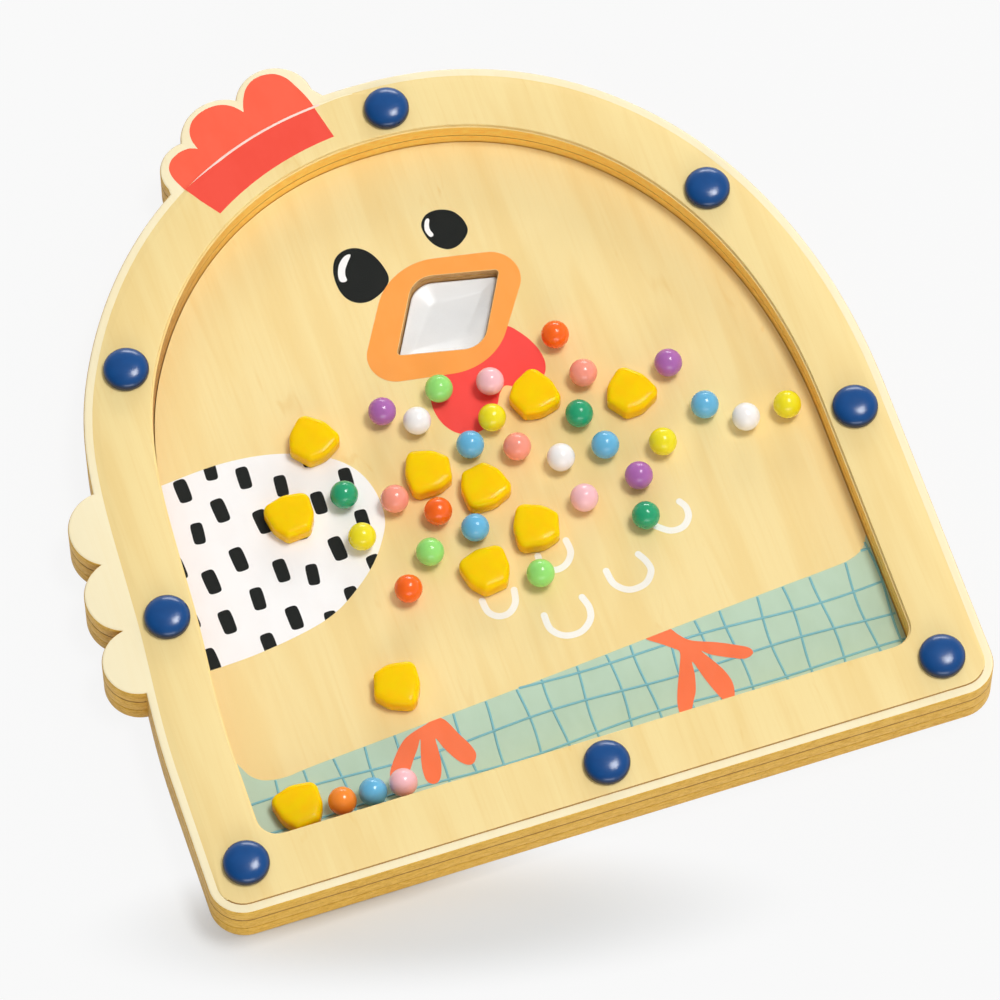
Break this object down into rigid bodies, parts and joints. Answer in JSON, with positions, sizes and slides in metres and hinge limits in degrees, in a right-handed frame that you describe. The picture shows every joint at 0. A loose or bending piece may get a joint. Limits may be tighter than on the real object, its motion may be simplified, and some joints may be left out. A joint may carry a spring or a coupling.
{
  "type": "chicken rattle",
  "caption": "Flat wooden rattle board shaped like a hen, with loose beads and corn kernels that roll on a picture panel under a clear window, held by domed rivets.",
  "frame": {"origin": "underside of the back board, at the middle of the whole board's box, comb and tail included", "axes": "+Z out of the face, through the clear window; +Y from the flat foot towards the comb; +X to the hen's beak side"},
  "size_m": [0.2586, 0.2744, 0.0223],
  "materials": {
    "side_wood": "stained brown wood, satin",
    "rim_wood": "pale cream painted wood, satin",
    "front_wood": "tan wood with soft grain, satin lacquer",
    "panel_wood": "printed wooden panel, satin lacquer",
    "clear": "clear polished sheet",
    "dish_white": "white, semi-gloss",
    "cap_blue": "deep blue, glossy",
    "corn_yellow": "amber yellow, glossy",
    "orange_red": "glossy round bead",
    "salmon": "glossy round bead",
    "purple": "glossy round bead",
    "light_green": "glossy round bead",
    "light_pink": "glossy round bead",
    "white": "glossy round bead",
    "yellow": "glossy round bead",
    "dark_green": "glossy round bead",
    "blue": "glossy round bead",
    "orange": "glossy round bead"
  },
  "bodies": {
    "board": {"back_board": "side_wood", "middle_ring": "side_wood", "rim_ring": "rim_wood", "front_frame": "front_wood", "picture_panel": "panel_wood", "clear_window": "clear", "mouth_cup": "dish_white", "cap_rivet_1": "cap_blue", "cap_rivet_2": "cap_blue", "cap_rivet_3": "cap_blue", "cap_rivet_4": "cap_blue", "cap_rivet_5": "cap_blue", "cap_rivet_6": "cap_blue", "cap_rivet_7": "cap_blue", "cap_rivet_8": "cap_blue"},
    "bead_blue_1": {"bead_blue_1": "blue"},
    "bead_blue_2": {"bead_blue_2": "blue"},
    "bead_blue_3": {"bead_blue_3": "blue"},
    "bead_blue_4": {"bead_blue_4": "blue"},
    "bead_blue_5": {"bead_blue_5": "blue"},
    "bead_dark_green_1": {"bead_dark_green_1": "dark_green"},
    "bead_dark_green_2": {"bead_dark_green_2": "dark_green"},
    "bead_dark_green_3": {"bead_dark_green_3": "dark_green"},
    "bead_light_green_1": {"bead_light_green_1": "light_green"},
    "bead_light_green_2": {"bead_light_green_2": "light_green"},
    "bead_light_green_3": {"bead_light_green_3": "light_green"},
    "bead_light_pink_1": {"bead_light_pink_1": "light_pink"},
    "bead_light_pink_2": {"bead_light_pink_2": "light_pink"},
    "bead_light_pink_3": {"bead_light_pink_3": "light_pink"},
    "bead_orange_1": {"bead_orange_1": "orange"},
    "bead_orange_red_1": {"bead_orange_red_1": "orange_red"},
    "bead_orange_red_2": {"bead_orange_red_2": "orange_red"},
    "bead_orange_red_3": {"bead_orange_red_3": "orange_red"},
    "bead_purple_1": {"bead_purple_1": "purple"},
    "bead_purple_2": {"bead_purple_2": "purple"},
    "bead_purple_3": {"bead_purple_3": "purple"},
    "bead_salmon_1": {"bead_salmon_1": "salmon"},
    "bead_salmon_2": {"bead_salmon_2": "salmon"},
    "bead_salmon_3": {"bead_salmon_3": "salmon"},
    "bead_white_1": {"bead_white_1": "white"},
    "bead_white_2": {"bead_white_2": "white"},
    "bead_white_3": {"bead_white_3": "white"},
    "bead_yellow_1": {"bead_yellow_1": "yellow"},
    "bead_yellow_2": {"bead_yellow_2": "yellow"},
    "bead_yellow_3": {"bead_yellow_3": "yellow"},
    "bead_yellow_4": {"bead_yellow_4": "yellow"},
    "corn_kernel_1": {"corn_kernel_1": "corn_yellow"},
    "corn_kernel_10": {"corn_kernel_10": "corn_yellow"},
    "corn_kernel_2": {"corn_kernel_2": "corn_yellow"},
    "corn_kernel_3": {"corn_kernel_3": "corn_yellow"},
    "corn_kernel_4": {"corn_kernel_4": "corn_yellow"},
    "corn_kernel_5": {"corn_kernel_5": "corn_yellow"},
    "corn_kernel_6": {"corn_kernel_6": "corn_yellow"},
    "corn_kernel_7": {"corn_kernel_7": "corn_yellow"},
    "corn_kernel_8": {"corn_kernel_8": "corn_yellow"},
    "corn_kernel_9": {"corn_kernel_9": "corn_yellow"}
  },
  "joints": [
    {"name": "bead_blue_1_roll", "type": "slide", "parent": "board", "child": "bead_blue_1", "axis": [0.3827, 0.9239, 0], "range_m": [-0.008, 0.037]},
    {"name": "bead_blue_2_roll", "type": "slide", "parent": "board", "child": "bead_blue_2", "axis": [-0.5, 0.866, 0], "range_m": [-0.002, 0.008]},
    {"name": "bead_blue_3_roll", "type": "slide", "parent": "board", "child": "bead_blue_3", "axis": [-0.5, -0.866, 0], "range_m": [-0.004, 0.009]},
    {"name": "bead_blue_4_roll", "type": "slide", "parent": "board", "child": "bead_blue_4", "axis": [-0.9962, -0.0872, 0], "range_m": [-0.003, 0.006]},
    {"name": "bead_blue_5_roll", "type": "slide", "parent": "board", "child": "bead_blue_5", "axis": [0, 1, 0], "range_m": [-0.001, 0.044]},
    {"name": "bead_dark_green_1_roll", "type": "slide", "parent": "board", "child": "bead_dark_green_1", "axis": [1, 0, 0], "range_m": [-0.002, 0.004]},
    {"name": "bead_dark_green_2_roll", "type": "slide", "parent": "board", "child": "bead_dark_green_2", "axis": [-0.6428, -0.766, 0], "range_m": [-0.006, 0.01]},
    {"name": "bead_dark_green_3_roll", "type": "slide", "parent": "board", "child": "bead_dark_green_3", "axis": [0.6088, -0.7934, 0], "range_m": [-0.009, 0.035]},
    {"name": "bead_light_green_1_roll", "type": "slide", "parent": "board", "child": "bead_light_green_1", "axis": [-0.5736, 0.8192, 0], "range_m": [-0.004, 0.017]},
    {"name": "bead_light_green_2_roll", "type": "slide", "parent": "board", "child": "bead_light_green_2", "axis": [-0.0872, -0.9962, 0], "range_m": [-0.001, 0.012]},
    {"name": "bead_light_green_3_roll", "type": "slide", "parent": "board", "child": "bead_light_green_3", "axis": [0.7934, -0.6088, 0], "range_m": [-0.004, 0.041]},
    {"name": "bead_light_pink_1_roll", "type": "slide", "parent": "board", "child": "bead_light_pink_1", "axis": [0.5, 0.866, 0], "range_m": [-0.002, 0.036]},
    {"name": "bead_light_pink_2_roll", "type": "slide", "parent": "board", "child": "bead_light_pink_2", "axis": [0.1736, -0.9848, 0], "range_m": [-0.002, 0.029]},
    {"name": "bead_light_pink_3_roll", "type": "slide", "parent": "board", "child": "bead_light_pink_3", "axis": [1, 0, 0], "range_m": [0, 0.045]},
    {"name": "bead_orange_1_roll", "type": "slide", "parent": "board", "child": "bead_orange_1", "axis": [0, 1, 0], "range_m": [-0.001, 0.044]},
    {"name": "bead_orange_red_1_roll", "type": "slide", "parent": "board", "child": "bead_orange_red_1", "axis": [0.1305, 0.9914, 0], "range_m": [-0.004, 0.041]},
    {"name": "bead_orange_red_2_roll", "type": "slide", "parent": "board", "child": "bead_orange_red_2", "axis": [0.9659, 0.2588, 0], "range_m": [-0.001, 0.004]},
    {"name": "bead_orange_red_3_roll", "type": "slide", "parent": "board", "child": "bead_orange_red_3", "axis": [0, -1, 0], "range_m": [-0.016, 0.023]},
    {"name": "bead_purple_1_roll", "type": "slide", "parent": "board", "child": "bead_purple_1", "axis": [0.2588, 0.9659, 0], "range_m": [-0.004, 0.041]},
    {"name": "bead_purple_2_roll", "type": "slide", "parent": "board", "child": "bead_purple_2", "axis": [0, 1, 0], "range_m": [-0.009, 0.035]},
    {"name": "bead_purple_3_roll", "type": "slide", "parent": "board", "child": "bead_purple_3", "axis": [0.6088, -0.7934, 0], "range_m": [-0.003, 0.042]},
    {"name": "bead_salmon_1_roll", "type": "slide", "parent": "board", "child": "bead_salmon_1", "axis": [0.6428, 0.766, 0], "range_m": [-0.004, 0.04]},
    {"name": "bead_salmon_2_roll", "type": "slide", "parent": "board", "child": "bead_salmon_2", "axis": [0.2588, -0.9659, 0], "range_m": [-0.001, 0.018]},
    {"name": "bead_salmon_3_roll", "type": "slide", "parent": "board", "child": "bead_salmon_3", "axis": [-0.0872, 0.9962, 0], "range_m": [-0.007, 0.014]},
    {"name": "bead_white_1_roll", "type": "slide", "parent": "board", "child": "bead_white_1", "axis": [0, 1, 0], "range_m": [-0.004, 0.006]},
    {"name": "bead_white_2_roll", "type": "slide", "parent": "board", "child": "bead_white_2", "axis": [0.3827, -0.9239, 0], "range_m": [-0.005, 0.039]},
    {"name": "bead_white_3_roll", "type": "slide", "parent": "board", "child": "bead_white_3", "axis": [-0.2588, 0.9659, 0], "range_m": [-0.004, 0.01]},
    {"name": "bead_yellow_1_roll", "type": "slide", "parent": "board", "child": "bead_yellow_1", "axis": [-0.7934, 0.6088, 0], "range_m": [-0.002, 0.005]},
    {"name": "bead_yellow_2_roll", "type": "slide", "parent": "board", "child": "bead_yellow_2", "axis": [0, 1, 0], "range_m": [-0.008, 0.036]},
    {"name": "bead_yellow_3_roll", "type": "slide", "parent": "board", "child": "bead_yellow_3", "axis": [0.5736, -0.8192, 0], "range_m": [-0.004, 0.041]},
    {"name": "bead_yellow_4_roll", "type": "slide", "parent": "board", "child": "bead_yellow_4", "axis": [-0.766, -0.6428, 0], "range_m": [-0.006, 0.022]},
    {"name": "corn_kernel_1_slide", "type": "slide", "parent": "board", "child": "corn_kernel_1", "axis": [0.3827, 0.9239, 0], "range_m": [-0.002, 0.006]},
    {"name": "corn_kernel_10_slide", "type": "slide", "parent": "board", "child": "corn_kernel_10", "axis": [0, 1, 0], "range_m": [-0.001, 0.044]},
    {"name": "corn_kernel_2_slide", "type": "slide", "parent": "board", "child": "corn_kernel_2", "axis": [0.0872, 0.9962, 0], "range_m": [-0.004, 0.006]},
    {"name": "corn_kernel_3_slide", "type": "slide", "parent": "board", "child": "corn_kernel_3", "axis": [-1, 0, 0], "range_m": [-0.01, 0.035]},
    {"name": "corn_kernel_4_slide", "type": "slide", "parent": "board", "child": "corn_kernel_4", "axis": [-0.7071, 0.7071, 0], "range_m": [-0.001, 0.001]},
    {"name": "corn_kernel_5_slide", "type": "slide", "parent": "board", "child": "corn_kernel_5", "axis": [0.9848, 0.1736, 0], "range_m": [0, 0.003]},
    {"name": "corn_kernel_6_slide", "type": "slide", "parent": "board", "child": "corn_kernel_6", "axis": [-0.3827, -0.9239, 0], "range_m": [-0.006, 0.039]},
    {"name": "corn_kernel_7_slide", "type": "slide", "parent": "board", "child": "corn_kernel_7", "axis": [0.6428, -0.766, 0], "range_m": [-0.004, 0.008]},
    {"name": "corn_kernel_8_slide", "type": "slide", "parent": "board", "child": "corn_kernel_8", "axis": [-0.4226, -0.9063, 0], "range_m": [-0.001, 0.044]},
    {"name": "corn_kernel_9_slide", "type": "slide", "parent": "board", "child": "corn_kernel_9", "axis": [-0.1736, 0.9848, 0], "range_m": [-0.019, 0.026]}
  ]
}
